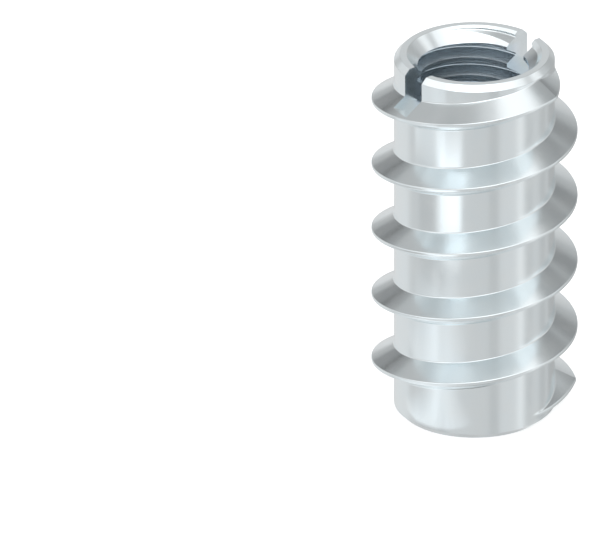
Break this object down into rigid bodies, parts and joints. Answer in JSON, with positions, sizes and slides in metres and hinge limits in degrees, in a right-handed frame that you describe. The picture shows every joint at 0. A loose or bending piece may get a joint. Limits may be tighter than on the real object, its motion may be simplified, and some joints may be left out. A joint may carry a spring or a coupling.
{
  "type": "threaded insert nut",
  "caption": "Slotted self-tapping insert nut: a zinc-plated steel bush with a coarse cutting thread outside and a metric thread inside.",
  "frame": {"origin": "centre of the leading end, on the axis of both threads", "axes": "+Z along the axis, from the leading end to the slotted end; the driver slot runs along X"},
  "size_m": [0.0159, 0.0158, 0.03],
  "materials": {
    "zinc_plated_steel": "bright zinc plate with a clear bluish passivation, smooth"
  },
  "bodies": {
    "root": {"insert_nut": "zinc_plated_steel"}
  },
  "joints": []
}
